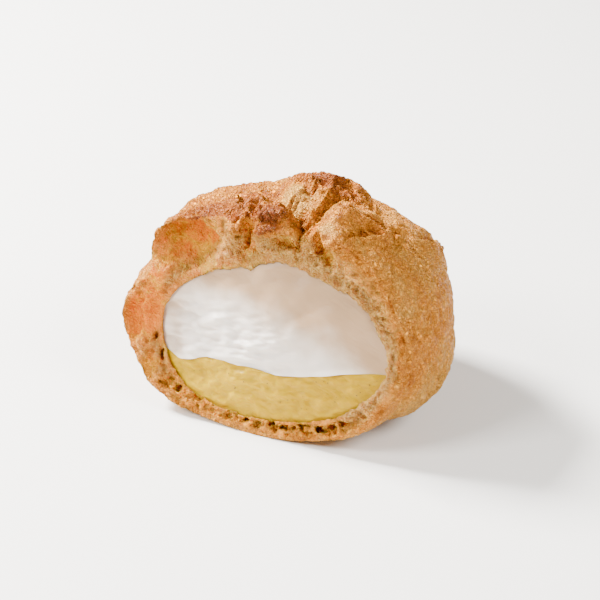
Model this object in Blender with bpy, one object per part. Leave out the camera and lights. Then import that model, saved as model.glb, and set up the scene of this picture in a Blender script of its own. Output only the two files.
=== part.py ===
"""A cream puff with its front cut away, standing on its flat base.

The choux shell is one baked piece: a craggy round dome with a thin wall and a crumb base.
The cut leans back a little and shows two fillings, custard below and whipped cream above.
Both run through the whole hollow of the shell.

+Z is up, the cut faces -Y, and the origin is under the middle of the whole piece.
Sizes are in millimetres until a mesh is made, and every angle is in degrees.
"""

import math

import bmesh
import bpy
import numpy as np

METRES_PER_MM = 0.001

# The round body, as baked and before the cut, measured from the foot of its upright axis.
# The axis stands a little off the middle of what is left after the cut.
AXIS_PLACE = np.array([1.31, -13.0, 0.0])
BODY_MIDDLE = np.array([0.0, 0.0, 28.0])
BODY_HALF_WIDTH = 41.8
BODY_HALF_DEPTH = 42.4
BODY_RISE = 28.8
BODY_DROP = 31.6
STRAIGHT_BACK = np.array([0.0, 1.0, 0.0])

# The cut: a plane in front of the body's middle, which leans back as it rises.
CUT_FORWARD = 19.0
CUT_LEAN = 13.0
OPENING_HEIGHT = 26.0

# Outlines in the cut, as radii from the opening's centre. The first one points to +X and
# they go round anticlockwise in equal steps.
RIM_RADII = (36.5, 36.4, 34.6, 34.2, 35.6, 41.2, 42.8, 38.2, 28.8, 25.9, 27.7, 33.8)
OPENING_RADII = (32.6, 28.2, 22.3, 21.1, 20.2, 24.8, 31.6, 31.2, 24.8, 21.4, 22.6, 27.5)
# Where the rim's outline is pinched or swollen: angle, spread, and how far it moves.
RIM_SWELLS = (
    (142.0, 9.0, 1.6),
    (161.5, 6.5, -4.0),
    (172.0, 8.0, -1.2),
    (199.0, 6.0, -0.8),
    (97.0, 8.0, 1.2),
    (80.0, 4.5, -1.6),
    (64.0, 7.0, 1.0),
)

# Walls between the baked skin and the hollow.
WALL_SIDE = 4.2
WALL_TOP = 5.5
WALL_BASE = 7.5
# The skins bend to meet the outlines over this last share of the way round from the back.
MEETS_RIM_FROM = 0.5

# The crags that rose in the oven: azimuth from +X towards +Y, height above the horizon,
# how wide each one spreads, and how far it stands out.
CRAGS = (
    (-170.0, 56.0, 25.0, 4.2),
    (-104.0, 77.0, 17.0, 5.2),
    (-12.0, 61.0, 18.0, 5.2),
    (-5.0, 41.0, 17.0, 3.4),
    (80.0, 63.0, 24.0, 6.4),
    (42.0, 54.0, 13.0, 3.4),
    (0.0, 14.0, 34.0, 3.0),
    (12.0, -22.0, 25.0, 4.4),
    (150.0, 32.0, 25.0, 4.0),
    (112.0, 32.0, 24.0, 3.6),
    (76.0, 22.0, 25.0, 2.8),
    (186.0, 12.0, 24.0, 3.2),
    (160.0, -4.0, 24.0, 3.2),
    (124.0, 0.0, 26.0, 3.2),
    (90.0, -12.0, 27.0, 3.0),
    (52.0, -8.0, 26.0, 2.2),
    (-40.0, 6.0, 22.0, 1.8),
)
CRAG_ROUNDNESS = 0.85
CRAG_BLEND = 0.5

# Splits in the crust: from azimuth and height, to azimuth and height, width, and depth.
# At its ends a split has this share of its depth.
SPLIT_END_DEPTH = 0.35
SPLITS = (
    (-34.0, 81.0, -49.0, 69.0, 3.2, 3.6),
    (-49.0, 69.0, -52.0, 59.0, 4.2, 4.2),
    (176.0, 72.0, -126.0, 68.0, 3.0, 2.2),
    (-13.0, 84.0, 19.0, 69.0, 2.6, 1.8),
    (19.0, 69.0, 18.0, 50.0, 2.6, 2.2),
    (18.0, 50.0, 25.0, 42.0, 2.6, 1.8),
    (25.0, 42.0, 15.0, 33.0, 2.4, 1.2),
    (-15.0, 53.0, 15.0, 46.0, 2.4, 2.0),
    (132.0, 80.0, -34.0, 82.0, 2.6, 0.8),
    (-12.0, -2.0, -28.0, -18.0, 2.2, 1.0),
)

# Relief in the cut face: across and up in the cut, half sizes, turn, and how far it
# stands out. Air pockets go in and the lumps beside them stand out.
RIM_RELIEF = (
    (-27.4, 48.6, 8.6, 5.8, 42.0, -7.0),
    (-39.4, 25.5, 8.2, 3.1, 84.0, -4.4),
    (-34.4, 11.8, 4.4, 3.0, 62.0, -1.8),
    (-12.4, 55.6, 3.4, 3.1, 0.0, 2.6),
    (-8.8, 54.0, 5.0, 2.2, 72.0, -3.2),
    (-8.8, 48.8, 3.4, 2.4, 80.0, -2.0),
    (-4.2, 60.0, 5.8, 4.6, 0.0, 2.8),
    (1.2, 56.8, 6.0, 2.0, 8.0, 1.0),
    (1.6, 52.8, 4.8, 2.4, 4.0, -3.4),
    (6.6, 60.0, 4.6, 2.6, 105.0, -4.4),
    (12.4, 53.0, 4.6, 2.4, -50.0, -2.8),
    (15.6, 58.2, 5.4, 5.0, 0.0, 2.4),
    (37.5, 30.0, 20.0, 5.0, 90.0, -2.4),
)
# Each one is level over this share of its half size, and has ended at the second share.
RELIEF_LEVEL_TO, RELIEF_ENDS_AT = 0.35, 1.15
# The relief dies away over this last share of the way in from the rim to the opening.
RELIEF_FADES_FROM = 0.7

# The fillings: the gap to what they touch, and how far they keep behind the rim, as a
# share of the way from the back, by the angle at which they meet it.
FILLING_GAP = 0.36
CREAM_KEEPS_BACK = (0.012, 0.022, 0.03, 0.035, 0.04, 0.052, 0.05, 0.03, 0.012, 0.012, 0.012, 0.012)
CUSTARD_KEEPS_BACK = (0.01,)
CREAM_BULGE = 1.4
CUSTARD_BULGE = 1.2
# The custard's top, level with the cut's middle, its rise towards +X, and its waves.
CUSTARD_TOP = 18.0
CUSTARD_RISE = 5.8
CUSTARD_WAVES = ((-27.0, 7.0, -3.4), (-4.0, 5.0, 0.4))
# The blocks that part the fillings reach past everything else.
BLOCK_REACH = 55.0
BLOCK_TOP, BLOCK_FOOT = 80.0, -10.0

# How finely the solids are cut into faces.
SHELL_COLUMNS = 112
SHELL_ROWS = 34
HOLLOW_COLUMNS = 56
HOLLOW_ROWS = 12
RIM_ROWS = 8
FILLING_COLUMNS = 56
FILLING_FRONT_ROWS = 7
FILLING_BACK_ROWS = 12
INTERFACE_STEPS = 45
# Near the pole at the back a ring has a quarter of the columns, then half of them.
QUARTER_COLUMNS_TO, HALF_COLUMNS_TO = 0.16, 0.42

CRUST_BROWN = (0.52, 0.24, 0.07, 1.0)
WHIPPED_WHITE = (0.86, 0.84, 0.79, 1.0)
CUSTARD_YELLOW = (0.77, 0.55, 0.13, 1.0)


def smooth_step(value, low, high):
    """0 below low, 1 above high, and an even bend between them."""
    share = np.clip((value - low) / (high - low), 0.0, 1.0)
    return share * share * (3.0 - 2.0 * share)


def unit(vectors):
    return vectors / np.linalg.norm(vectors, axis=-1, keepdims=True)


def direction(azimuth, height):
    """The unit vector at an azimuth from +X towards +Y and a height above the horizon."""
    across, up = math.radians(azimuth), math.radians(height)
    return np.array([math.cos(up) * math.cos(across), math.cos(up) * math.sin(across), math.sin(up)])


def round_curve(values, angles):
    """A smooth closed curve through values at equal steps of angle, read at angles in radians."""
    values = np.asarray(values, float)
    place = np.asarray(angles) / (2.0 * math.pi) * len(values)
    first = np.floor(place).astype(int)
    share = place - first
    before, here, after, beyond = (values[(first + step) % len(values)] for step in (-1, 0, 1, 2))
    bend = 2.0 * before - 5.0 * here + 4.0 * after - beyond
    twist = 3.0 * (here - after) + beyond - before
    return here + 0.5 * share * (after - before + share * (bend + share * twist))


def in_the_cut(across, up, proud=0.0):
    """The place of a point of the cut, given across and up in it, and how far it stands out."""
    lean = math.radians(CUT_LEAN)
    return np.stack(
        [
            across + 0.0 * up,
            up * math.sin(lean) - CUT_FORWARD - proud * math.cos(lean),
            up * math.cos(lean) + proud * math.sin(lean),
        ],
        axis=-1,
    )


def rim_radius(angles):
    radius = round_curve(RIM_RADII, angles)
    for centre, spread, swell in RIM_SWELLS:
        away = (np.degrees(angles) - centre + 180.0) % 360.0 - 180.0
        radius = radius + swell * np.exp(-((away / spread) ** 2))
    return radius


def opening_radius(angles):
    return round_curve(OPENING_RADII, angles)


def outline(radius, angles, inside=0.0):
    """The points of one outline in the cut, a little inside it if asked."""
    length = radius(angles) - inside
    return in_the_cut(length * np.cos(angles), OPENING_HEIGHT + length * np.sin(angles))


def crags(rays):
    """How far the crags stand out along each ray. Where two meet there is a crease."""
    total = np.ones(rays.shape[:-1])
    for azimuth, height, spread, rise in CRAGS:
        away = np.degrees(np.arccos(np.clip(rays @ direction(azimuth, height), -1.0, 1.0)))
        dome = np.clip(1.0 - (away / spread) ** 2, 0.0, None) ** CRAG_ROUNDNESS
        total = total + np.exp(rise * dome / CRAG_BLEND) - 1.0
    return CRAG_BLEND * np.log(total)


def splits(rays):
    """How deep the splits in the crust are along each ray."""
    depth = np.zeros(rays.shape[:-1])
    for from_azimuth, from_height, to_azimuth, to_height, width, deep in SPLITS:
        start, end = direction(from_azimuth, from_height), direction(to_azimuth, to_height)
        along = np.clip((rays - start) @ (end - start) / ((end - start) @ (end - start)), 0.0, 1.0)
        nearest = unit(start + along[..., None] * (end - start))
        away = np.degrees(np.arccos(np.clip((rays * nearest).sum(-1), -1.0, 1.0)))
        taper = SPLIT_END_DEPTH + (1.0 - SPLIT_END_DEPTH) * np.sin(math.pi * along)
        depth = np.maximum(depth, deep * taper * np.exp(-((away / width) ** 2)))
    return depth


def plain_skin(rays):
    """The smooth round body's radius along each ray, flatter below than above."""
    tall = np.where(rays[..., 2] > 0.0, BODY_RISE, BODY_DROP)
    return 1.0 / np.sqrt(
        (rays[..., 0] / BODY_HALF_WIDTH) ** 2
        + (rays[..., 1] / BODY_HALF_DEPTH) ** 2
        + (rays[..., 2] / tall) ** 2
    )


def baked_skin(rays):
    return plain_skin(rays) + crags(rays)


def hollow_skin(rays, inside=0.0):
    """The hollow's radius along each ray: the plain body less its wall."""
    up, down = np.clip(rays[..., 2], 0.0, 1.0), np.clip(-rays[..., 2], 0.0, 1.0)
    wall = WALL_SIDE + (WALL_TOP - WALL_SIDE) * up**2 + (WALL_BASE - WALL_SIDE) * down**2
    return plain_skin(rays) - wall - inside


def no_splits(rays):
    return np.zeros(rays.shape[:-1])


def ring_round(edge, share, skin, cuts=no_splits):
    """A ring on a skin, at a share of the way from straight back to an outline in the cut."""
    spoke = edge - BODY_MIDDLE
    edge_radius = np.linalg.norm(spoke, axis=-1)
    edge_ray = unit(spoke)
    sweep = np.arccos(np.clip(edge_ray @ STRAIGHT_BACK, -1.0, 1.0))
    share = np.broadcast_to(share, sweep.shape)
    rays = unit(
        np.sin((1.0 - share) * sweep)[:, None] * STRAIGHT_BACK
        + np.sin(share * sweep)[:, None] * edge_ray
    )
    meets = smooth_step(share, MEETS_RIM_FROM, 1.0)
    radius = skin(rays) + (edge_radius - skin(edge_ray)) * meets - cuts(rays)
    ring = BODY_MIDDLE + rays * radius[:, None]
    ring[:, 2] = np.maximum(ring[:, 2], 0.0)
    return ring


def back_pole(skin):
    """The one point of a skin straight behind the body's middle, as a ring."""
    return BODY_MIDDLE + STRAIGHT_BACK[None] * skin(STRAIGHT_BACK[None])[:, None]


def angles_of(count):
    return 2.0 * math.pi * np.arange(count) / count


def columns_at(share, most):
    """Fewer columns near the straight-back pole, so that the faces stay of one size."""
    if share < QUARTER_COLUMNS_TO:
        return most // 4
    return most // 2 if share < HALF_COLUMNS_TO else most


def rim_relief(across, up):
    """How far the cut face stands out, or goes in where a number is negative."""
    relief = np.zeros(np.shape(across))
    for at_across, at_up, half_long, half_short, turn, proud in RIM_RELIEF:
        angle = math.radians(turn)
        along = (across - at_across) * math.cos(angle) + (up - at_up) * math.sin(angle)
        beside = (up - at_up) * math.cos(angle) - (across - at_across) * math.sin(angle)
        away = np.sqrt((along / half_long) ** 2 + (beside / half_short) ** 2)
        relief = relief + proud * (1.0 - smooth_step(away, RELIEF_LEVEL_TO, RELIEF_ENDS_AT))
    return relief


def rim_edge(angles):
    """The rim's outline, with the relief of the cut face carried out to it."""
    length = rim_radius(angles)
    across, up = length * np.cos(angles), OPENING_HEIGHT + length * np.sin(angles)
    return in_the_cut(across, up, rim_relief(across, up))


def rim_ring(share, count):
    """A ring of the cut face, at a share of the way from the rim's outline to the opening's."""
    angles = angles_of(count)
    edge = rim_edge(angles)
    split = splits(unit(edge - BODY_MIDDLE))[:, None] * unit(edge - BODY_MIDDLE)
    length = rim_radius(angles) * (1.0 - share) + opening_radius(angles) * share
    across, up = length * np.cos(angles), OPENING_HEIGHT + length * np.sin(angles)
    relief = rim_relief(across, up) * (1.0 - smooth_step(share, RELIEF_FADES_FROM, 1.0))
    ring = in_the_cut(across, up, relief) - split * (1.0 - share) ** 2
    ring[:, 2] = np.maximum(ring[:, 2], 0.0)
    return ring


def shell_rings():
    """Every ring of the shell, from the back's outside, over the rim, to the hollow's back."""
    rings = [back_pole(baked_skin)]
    for row in range(1, SHELL_ROWS + 1):
        share = row / SHELL_ROWS
        angles = angles_of(columns_at(share, SHELL_COLUMNS))
        rings.append(ring_round(rim_edge(angles), share, baked_skin, splits))
    for row in range(1, RIM_ROWS + 1):
        rings.append(rim_ring(row / RIM_ROWS, SHELL_COLUMNS))
    for row in range(HOLLOW_ROWS - 1, 0, -1):
        share = row / HOLLOW_ROWS
        angles = angles_of(columns_at(share, HOLLOW_COLUMNS))
        rings.append(ring_round(outline(opening_radius, angles), share, hollow_skin))
    rings.append(back_pole(hollow_skin))
    return rings


def filling_rings(keeps_back, bulge):
    """Every ring of a filling, from the middle of its front, to the back of the hollow."""

    def snug_skin(rays):
        return hollow_skin(rays, FILLING_GAP)

    angles = angles_of(FILLING_COLUMNS)
    front_share = 1.0 - round_curve(keeps_back, angles)
    edge = ring_round(outline(opening_radius, angles, FILLING_GAP), front_share, snug_skin)
    middle = in_the_cut(np.array([0.0]), np.array([OPENING_HEIGHT]), 0.0)[0]
    outwards = in_the_cut(0.0, 0.0, 1.0) - in_the_cut(0.0, 0.0, 0.0)
    rings = [(middle + outwards * bulge)[None]]
    for row in range(1, FILLING_FRONT_ROWS + 1):
        share = row / FILLING_FRONT_ROWS
        proud = bulge * (1.0 - share**3)
        rings.append(middle + (edge - middle) * share + outwards * proud)
    for row in range(FILLING_BACK_ROWS - 1, 0, -1):
        angles = angles_of(columns_at(row / FILLING_BACK_ROWS, FILLING_COLUMNS))
        share = row / FILLING_BACK_ROWS * (1.0 - round_curve(keeps_back, angles))
        rings.append(ring_round(outline(opening_radius, angles, FILLING_GAP), share, snug_skin))
    rings.append(back_pole(snug_skin))
    return rings


def faces_between(start, count, next_start, next_count):
    """The faces that join one ring of points to the next one, which may be half or twice as fine."""
    if count == 1:
        return [(start, next_start + (i + 1) % next_count, next_start + i) for i in range(next_count)]
    if next_count == 1:
        return [(start + i, start + (i + 1) % count, next_start) for i in range(count)]
    if count == next_count:
        return [
            (start + i, start + (i + 1) % count, next_start + (i + 1) % count, next_start + i)
            for i in range(count)
        ]
    fine, coarse = (start, next_start) if count > next_count else (next_start, start)
    coarse_count = min(count, next_count)
    faces = []
    for i in range(coarse_count):
        near, far = coarse + i, coarse + (i + 1) % coarse_count
        first, middle, last = (fine + (2 * i + step) % (2 * coarse_count) for step in (0, 1, 2))
        faces += [(near, first, middle), (near, middle, far), (far, middle, last)]
    return faces


def solid_from_rings(name, rings, material):
    """A closed solid whose skin runs through a row of rings, from one pole to the other."""
    starts = np.cumsum([0] + [len(ring) for ring in rings])
    faces = []
    for i in range(len(rings) - 1):
        faces += faces_between(int(starts[i]), len(rings[i]), int(starts[i + 1]), len(rings[i + 1]))
    mesh = bpy.data.meshes.new(name)
    fill_mesh(mesh, np.concatenate(rings), faces)
    return finished_object(name, mesh, material)


def fill_mesh(mesh, points, faces):
    """The points and faces put into a mesh, with the body's axis at its place."""
    mesh.from_pydata(((points + AXIS_PLACE) * METRES_PER_MM).tolist(), [], faces)


def finished_object(name, mesh, material):
    """Faces turned outwards, shaded smooth, and the mesh put in the scene as an object."""
    shape = bmesh.new()
    shape.from_mesh(mesh)
    bmesh.ops.recalc_face_normals(shape, faces=shape.faces)
    shape.to_mesh(mesh)
    shape.free()
    mesh.shade_smooth()
    mesh.materials.append(material)
    piece = bpy.data.objects.new(name, mesh)
    bpy.context.scene.collection.objects.link(piece)
    return piece


def custard_top(across):
    """The height up the cut at which the custard ends and the whipped cream begins."""
    height = CUSTARD_TOP + CUSTARD_RISE * smooth_step(across, 0.0, OPENING_RADII[0])
    for centre, spread, wave in CUSTARD_WAVES:
        height = height + wave * np.exp(-(((across - centre) / spread) ** 2))
    return height


def interface_block(name, top, sign):
    """A block that ends in the custard's wavy top: the space under it, or the space over it."""
    across = np.linspace(-BLOCK_REACH, BLOCK_REACH, INTERFACE_STEPS)
    wave = custard_top(across) * math.cos(math.radians(CUT_LEAN)) + sign * FILLING_GAP / 2.0
    walls = []
    for deep in (-BLOCK_REACH, BLOCK_REACH):
        for height in (wave, np.full_like(wave, top)):
            walls.append(np.stack([across, np.full_like(across, deep), height], axis=-1))
    front, front_far, back, back_far = (row * INTERFACE_STEPS for row in range(4))
    faces = []
    for i in range(INTERFACE_STEPS - 1):
        for low, high in ((front, front_far), (front_far, back_far), (back_far, back), (back, front)):
            faces.append((low + i, low + i + 1, high + i + 1, high + i))
    last = INTERFACE_STEPS - 1
    faces.append((front, front_far, back_far, back))
    faces.append((front + last, back + last, back_far + last, front_far + last))
    mesh = bpy.data.meshes.new(name)
    fill_mesh(mesh, np.concatenate(walls), faces)
    block = finished_object(name, mesh, None)
    block.hide_render = True
    block.display_type = "WIRE"
    return block


def baked_material(name, colour, roughness):
    material = bpy.data.materials.new(name)
    material.use_nodes = True
    shader = material.node_tree.nodes["Principled BSDF"]
    shader.inputs["Base Color"].default_value = colour
    shader.inputs["Roughness"].default_value = roughness
    shader.inputs["Metallic"].default_value = 0.0
    material.diffuse_color = colour
    return material


def make_shell():
    return solid_from_rings("shell", shell_rings(), baked_material("crust", CRUST_BROWN, 0.62))


def make_filling(name, keeps_back, bulge, block, material):
    """A filling that fits the hollow, kept only where its block is."""
    filling = solid_from_rings(name, filling_rings(keeps_back, bulge), material)
    cut = filling.modifiers.new("other filling", "BOOLEAN")
    cut.operation = "INTERSECT"
    cut.object = block
    return filling


def main():
    for old in list(bpy.data.objects):
        bpy.data.objects.remove(old)
    make_shell()
    above = interface_block("space above custard", BLOCK_TOP, 1.0)
    below = interface_block("space below whipped cream", BLOCK_FOOT, -1.0)
    whipped = baked_material("whipped cream", WHIPPED_WHITE, 0.45)
    custard = baked_material("custard", CUSTARD_YELLOW, 0.35)
    make_filling("whipped_cream", CREAM_KEEPS_BACK, CREAM_BULGE, above, whipped)
    make_filling("custard", CUSTARD_KEEPS_BACK, CUSTARD_BULGE, below, custard)


main()
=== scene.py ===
"""A cream puff with its front cut away: the looks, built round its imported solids.

The shell, the whipped cream and the custard are each modelled afresh over their solids, finely
enough for the crust's wrinkles, the torn crumb and the smears that the knife left in the creams.
Shapes are worked out in millimetres from the foot of the puff's upright axis.
"""

import math

import bmesh
import bpy
import numpy as np
from mathutils import Matrix, Vector, noise


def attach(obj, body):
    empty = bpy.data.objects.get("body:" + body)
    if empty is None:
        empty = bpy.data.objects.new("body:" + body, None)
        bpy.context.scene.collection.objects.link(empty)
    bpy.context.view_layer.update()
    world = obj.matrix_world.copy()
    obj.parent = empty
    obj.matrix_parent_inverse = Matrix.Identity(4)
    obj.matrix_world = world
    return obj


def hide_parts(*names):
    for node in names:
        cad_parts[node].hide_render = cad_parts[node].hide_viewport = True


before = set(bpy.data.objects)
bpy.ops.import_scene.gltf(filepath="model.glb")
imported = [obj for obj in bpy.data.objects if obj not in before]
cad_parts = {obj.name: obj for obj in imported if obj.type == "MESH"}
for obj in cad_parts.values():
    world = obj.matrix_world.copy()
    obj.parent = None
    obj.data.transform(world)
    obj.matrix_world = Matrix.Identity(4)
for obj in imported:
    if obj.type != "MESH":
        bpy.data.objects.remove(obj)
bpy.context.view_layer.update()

# The view is from the right of the cut face and a little above it, through a long lens.
# The puff's upright axis stands off the middle of what the cut has left.
MM = 0.001
AXIS_FOOT = np.array([1.31, -13.0, 0.0])
VIEW_AZIMUTH, VIEW_HEIGHT = math.radians(25.0), math.radians(29.0)
LENS, FILM = 120.0, 36.0
VIEW_DISTANCE = 537.6
AIM_RIGHT, AIM_UP = 2.15, 27.3

view_right = Vector((math.cos(VIEW_AZIMUTH), math.sin(VIEW_AZIMUTH), 0.0))
view_back = Vector(
    (
        math.sin(VIEW_AZIMUTH) * math.cos(VIEW_HEIGHT),
        -math.cos(VIEW_AZIMUTH) * math.cos(VIEW_HEIGHT),
        math.sin(VIEW_HEIGHT),
    )
)
view_up = view_back.cross(view_right)
aim = Vector(AXIS_FOOT) + view_right * AIM_RIGHT + view_up * AIM_UP
camera = bpy.data.objects.new("camera", bpy.data.cameras.new("camera"))
camera.data.lens, camera.data.sensor_width = LENS, FILM
camera.data.clip_start, camera.data.clip_end = 0.01, 10.0
camera.matrix_world = Matrix((view_right, view_up, view_back)).transposed().to_4x4()
camera.location = (aim + view_back * VIEW_DISTANCE) * MM
bpy.context.scene.collection.objects.link(camera)
bpy.context.scene.camera = camera


# The choux shell is one piece of baked paste. Steam blew it up from inside, so its skin rose in
# crags with splits between them, and its wall is a moist crumb with bubbles left in it.
BODY_MIDDLE = np.array([0.0, 0.0, 28.0])
BODY_WIDE, BODY_DEEP, BODY_RISE, BODY_DROP = 41.8, 42.4, 28.8, 31.6
WALL_SIDE, WALL_TOP, WALL_BASE = 4.2, 5.5, 7.5
CUT_FORWARD, CUT_LEAN, OPENING_HEIGHT = 19.0, math.radians(13.0), 26.0
# Outlines in the cut, as lengths from the opening's centre, anticlockwise from +X.
RIM_LENGTHS = (36.5, 36.4, 34.6, 34.2, 35.6, 41.2, 42.8, 38.2, 28.8, 25.9, 27.7, 33.8)
OPENING_LENGTHS = (32.6, 28.2, 22.3, 21.1, 20.2, 24.8, 31.6, 31.2, 24.8, 21.4, 22.6, 27.5)
CRUST_EDGE_LENGTHS = (35.2, 35.4, 31.6, 31.4, 34.8, 40.6, 42.2, 37.6, 28.3, 25.4, 27.2, 32.8)
RIM_SWELLS = (
    (142.0, 9.0, 1.6),
    (161.5, 6.5, -4.0),
    (172.0, 8.0, -1.2),
    (199.0, 6.0, -0.8),
    (184.0, 11.0, 1.3),
    (206.0, 7.0, 1.2),
    (97.0, 8.0, 1.2),
    (80.0, 4.5, -1.6),
    (64.0, 7.0, 1.0),
)
MEETS_RIM_FROM = 0.5
# Crags: azimuth, height above the horizon, spread, rise, and how brown the oven left it.
CRAGS = (
    (-170.0, 56.0, 25.0, 4.2, 0.26),
    (-104.0, 76.0, 16.0, 7.2, 0.24),
    (-12.0, 61.0, 18.0, 5.2, 0.00),
    (-5.0, 41.0, 17.0, 3.4, 0.00),
    (80.0, 63.0, 24.0, 6.9, 0.20),
    (50.0, 57.0, 15.0, 4.2, 0.10),
    (36.0, 30.0, 22.0, 3.9, -0.05),
    (6.0, 68.0, 15.0, 7.4, 0.00),
    (12.0, 54.0, 16.0, 5.6, 0.00),
    (0.0, 14.0, 34.0, 3.9, 0.00),
    (12.0, -22.0, 25.0, 4.4, -0.25),
    (150.0, 32.0, 25.0, 4.0, 0.05),
    (112.0, 32.0, 24.0, 3.6, 0.00),
    (76.0, 22.0, 25.0, 2.8, 0.05),
    (186.0, 12.0, 24.0, 3.2, 0.00),
    (160.0, -4.0, 24.0, 3.2, -0.10),
    (124.0, 0.0, 26.0, 3.2, -0.05),
    (90.0, -12.0, 27.0, 3.0, -0.20),
    (52.0, -8.0, 26.0, 2.2, -0.10),
    (-40.0, 6.0, 22.0, 1.8, -0.05),
)
CRAG_ROUNDNESS, CRAG_BLEND = 0.85, 0.5
# Splits: from azimuth and height, to azimuth and height, half width in degrees, depth, and the
# lip that stands up along its left side, or along its right side where it is negative.
SPLIT_END_DEPTH = 0.35
LIP_FROM_SPLIT, LIP_WIDTH = 1.5, 0.7
SPLITS = (
    (-38.0, 82.0, -45.0, 71.0, 3.0, 3.8, 0.6),
    (-45.0, 71.0, -42.0, 55.0, 4.0, 5.0, 0.6),
    (176.0, 72.0, -126.0, 68.0, 2.6, 2.2, 0.5),
    (-154.0, 58.0, -144.0, 66.0, 4.0, 2.8, 0.0),
    (-10.0, 86.0, 16.0, 79.0, 2.2, 2.0, -0.5),
    (16.0, 79.0, 10.0, 72.0, 2.2, 3.0, -0.7),
    (10.0, 72.0, 13.0, 65.0, 2.2, 3.8, -0.8),
    (13.0, 65.0, 18.0, 58.0, 2.2, 4.2, -0.8),
    (18.0, 58.0, 19.0, 50.0, 2.2, 4.0, -0.8),
    (19.0, 50.0, 22.0, 45.0, 2.0, 3.2, -0.8),
    (22.0, 45.0, 25.0, 37.0, 1.8, 2.6, -0.7),
    (25.0, 37.0, 18.0, 29.0, 1.6, 1.8, -0.5),
    (-17.0, 57.0, -6.0, 55.0, 1.8, 1.6, -0.8),
    (-6.0, 55.0, 2.0, 52.0, 1.8, 2.2, -1.1),
    (2.0, 52.0, 13.0, 49.0, 1.8, 2.0, -0.9),
    (56.0, 60.0, 45.0, 54.0, 1.5, 1.6, 0.7),
    (45.0, 54.0, 33.0, 50.0, 1.5, 1.8, 0.7),
    (33.0, 50.0, 23.0, 46.0, 1.5, 1.8, 0.7),
    (48.0, 62.0, 34.0, 61.0, 1.3, 1.3, 0.4),
    (140.0, 84.0, 106.0, 76.0, 1.0, 1.7, 0.9),
    (122.0, 81.0, 96.0, 74.0, 1.0, 1.7, 0.9),
    (110.0, 84.0, 88.0, 78.0, 1.0, 1.7, 0.9),
    (88.0, 82.0, 66.0, 76.0, 1.0, 1.4, 0.8),
    (100.0, 73.0, 78.0, 75.0, 3.0, 3.0, 1.1),
    (78.0, 75.0, 70.0, 67.0, 2.4, 2.8, 1.1),
    (70.0, 67.0, 62.0, 58.0, 1.6, 1.6, 0.6),
    (29.0, 31.0, 37.0, 24.0, 1.3, 2.4, -0.8),
    (37.0, 24.0, 43.0, 16.0, 1.3, 2.4, -0.8),
    (-169.0, 66.0, 168.0, 62.0, 1.3, 1.0, 0.7),
    (-171.0, 42.0, -179.0, 45.0, 1.4, 1.3, 0.4),
    (6.0, -14.0, -3.0, -24.0, 1.8, 1.8, 0.5),
    (132.0, 80.0, -34.0, 82.0, 2.6, 0.8, 0.0),
    (118.0, 60.0, 146.0, 46.0, 2.2, 2.4, 0.8),
    (146.0, 46.0, 168.0, 47.0, 1.8, 1.8, 0.6),
    (60.0, 42.0, 92.0, 44.0, 2.0, 2.0, -0.7),
    (92.0, 44.0, 108.0, 36.0, 1.6, 1.4, -0.5),
    (130.0, 22.0, 150.0, 8.0, 1.6, 1.4, 0.5),
    (98.0, 12.0, 84.0, -4.0, 1.4, 1.2, 0.4),
    (48.0, 16.0, 58.0, 2.0, 1.4, 1.2, -0.4),
    (176.0, 26.0, 172.0, 10.0, 1.4, 1.2, 0.4),
)
# Patches: azimuth, height, spread, and how much browner or paler the oven left them.
PATCHES = (
    (80.0, 66.0, 8.0, 0.30),
    (5.0, 46.0, 7.0, 0.12),
    (-96.0, 72.0, 9.0, 0.25),
    (-172.0, 50.0, 13.0, 0.12),
    (-135.0, 66.0, 9.0, 0.25),
    (10.0, 30.0, 12.0, -0.12),
    (160.0, 70.0, 9.0, 0.15),
    (-30.0, 65.0, 4.0, -0.45),
    (110.0, 80.0, 8.0, -0.65),
    (92.0, 76.0, 6.0, -0.60),
    (-100.0, 66.0, 10.0, 0.30),
    (20.0, 57.0, 6.0, -0.15),
    (140.0, 60.0, 10.0, 0.25),
    (96.0, 40.0, 10.0, 0.22),
    (160.0, 20.0, 12.0, 0.12),
    (190.0, 36.0, 20.0, 0.10),
    (130.0, 24.0, 24.0, 0.12),
)
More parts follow.
